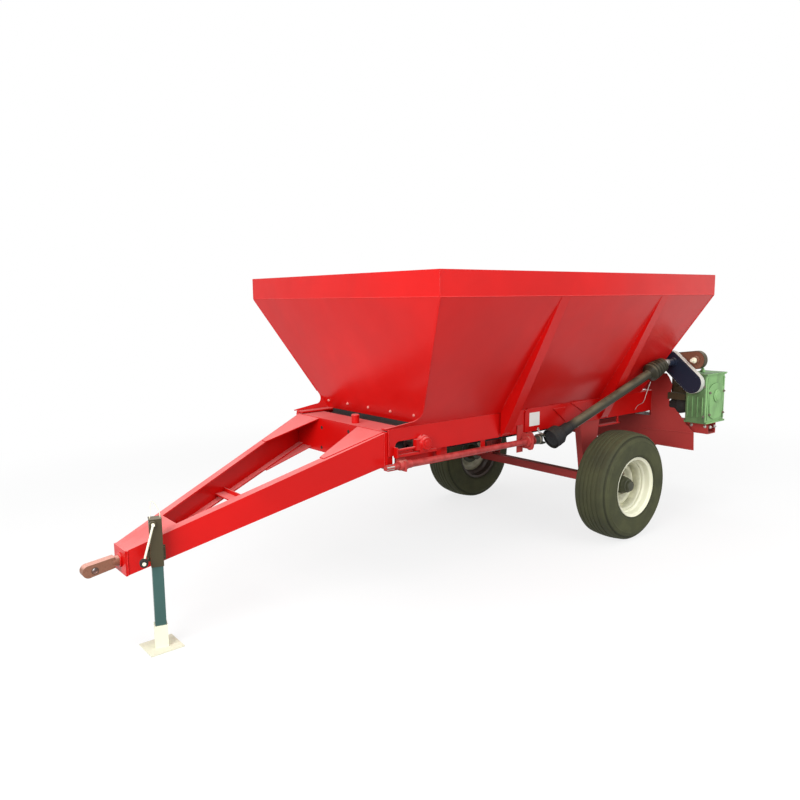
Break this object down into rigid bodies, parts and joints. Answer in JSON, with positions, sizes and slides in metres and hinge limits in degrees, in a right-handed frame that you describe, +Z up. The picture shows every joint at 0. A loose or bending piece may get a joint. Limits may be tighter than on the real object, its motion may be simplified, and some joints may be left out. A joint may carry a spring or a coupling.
{
  "type": "trailed manure spreader",
  "caption": "Single-axle trailed hopper spreader with belt floor, A-frame drawbar, parking jack, side drive shaft and rear spreading discs.",
  "frame": {"origin": "centre of the machine's outline on the ground, at the foot of the wheels and the jack", "axes": "+X forward to the towing eye, +Y to the machine's left where the drive shaft runs, +Z up"},
  "size_m": [5.2393, 2.15, 2.0641],
  "materials": {
    "bare_steel": "bare turned steel",
    "cream": "cream-white enamel",
    "galvanised": "dull galvanised steel",
    "guard_black": "black moulded guard",
    "hub_dark": "dirty cast iron",
    "jack_olive": "dark olive enamel",
    "jack_teal": "blue-green enamel",
    "paint_green": "machine green enamel",
    "paint_navy": "navy enamel",
    "paint_red": "glossy red enamel",
    "paint_red_dark": "red enamel, dull and dusty",
    "primer_brown": "brown primer",
    "rubber_black": "black rubber",
    "rusty_eye": "forged steel, worn brown-red paint",
    "tyre": "ribbed implement tyre, dusty"
  },
  "bodies": {
    "root": {"axle_beam": "paint_red_dark", "axle_legs": "paint_red_dark", "baffle": "paint_red_dark", "cardan_guard": "guard_black", "cardan_shaft": "bare_steel", "chain_case": "paint_navy", "chain_cover": "primer_brown", "coupling_guard": "guard_black", "cross_tubes": "paint_red_dark", "deck_post": "paint_red", "drawbar_beam_left": "paint_red", "drawbar_beam_right": "paint_red", "drawbar_bracket": "paint_red", "drawbar_gussets": "paint_red", "drawbar_nose": "paint_red", "drop_arms": "paint_red_dark", "drum_front": "bare_steel", "drum_rear": "bare_steel", "floor_belt": "rubber_black", "front_crossmember": "paint_red", "front_seal": "rubber_black", "gate_guides": "paint_red", "gearbox": "paint_green", "gearbox_mount": "paint_red_dark", "hopper_front_wall": "paint_red", "hopper_left_wall": "paint_red", "hopper_rear_wall": "paint_red", "hopper_right_wall": "paint_red", "jack_crank": "cream", "jack_sleeve": "jack_olive", "rail_left": "paint_red", "rail_right": "paint_red", "rear_bearings": "paint_red_dark", "rear_cross_tube": "paint_red_dark", "ribs_left": "paint_red", "ribs_right": "paint_red", "rim_band_front": "paint_red", "rim_band_left": "paint_red", "rim_band_rear": "paint_red", "rim_band_right": "paint_red", "shaft_brackets": "paint_red_dark", "side_plates_left": "paint_red", "side_plates_right": "paint_red", "spinner_arms": "paint_red_dark", "spinner_cross_shaft": "bare_steel", "spinner_gearboxes": "paint_green", "takeup_bearings": "paint_red"},
    "wheel_left": {"hub_left": "hub_dark", "wheel_rim_left": "cream", "tyre_left": "tyre"},
    "wheel_right": {"hub_right": "hub_dark", "wheel_rim_right": "cream", "tyre_right": "tyre"},
    "hitch_eye": {"hitch_eye": "rusty_eye"},
    "jack_leg": {"jack_leg": "jack_teal", "jack_foot": "cream"},
    "side_shaft": {"side_shaft": "paint_red_dark"},
    "spinner_left": {"spinner_left": "galvanised"},
    "spinner_right": {"spinner_right": "galvanised"},
    "metering_gate": {"metering_gate": "paint_red_dark"}
  },
  "joints": [
    {"name": "wheel_left_spin", "type": "hinge", "parent": "root", "child": "wheel_left", "pos_m": [-1.13233, 0.8355, 0.416], "axis": [0, 1, 0], "continuous": true},
    {"name": "wheel_right_spin", "type": "hinge", "parent": "root", "child": "wheel_right", "pos_m": [-1.13233, -0.8355, 0.416], "axis": [0, 1, 0], "continuous": true},
    {"name": "hitch_eye_swivel", "type": "hinge", "parent": "root", "child": "hitch_eye", "pos_m": [2.39519, 0, 0.49944], "axis": [0.9997, 0, 0.0248], "continuous": true},
    {"name": "jack_lift", "type": "slide", "parent": "root", "child": "jack_leg", "axis": [-0.0248, 0, 0.9997], "range_m": [0, 0.15]},
    {"name": "side_shaft_spin", "type": "hinge", "parent": "root", "child": "side_shaft", "pos_m": [0.82251, 0.6, 0.87058], "axis": [0.9997, 0, 0.0248], "continuous": true},
    {"name": "spinner_left_spin", "type": "hinge", "parent": "root", "child": "spinner_left", "pos_m": [-2.35461, 0.3, 0.7148], "axis": [-0.0248, 0, 0.9997], "continuous": true},
    {"name": "spinner_right_spin", "type": "hinge", "parent": "root", "child": "spinner_right", "pos_m": [-2.35461, -0.3, 0.7148], "axis": [-0.0248, 0, 0.9997], "continuous": true},
    {"name": "metering_gate_lift", "type": "slide", "parent": "root", "child": "metering_gate", "axis": [-0.2102, 0, 0.9776], "range_m": [0, 0.25]}
  ],
  "couplings": [
    {"joint": "spinner_right_spin", "follows": "spinner_left_spin", "ratio": -1}
  ]
}
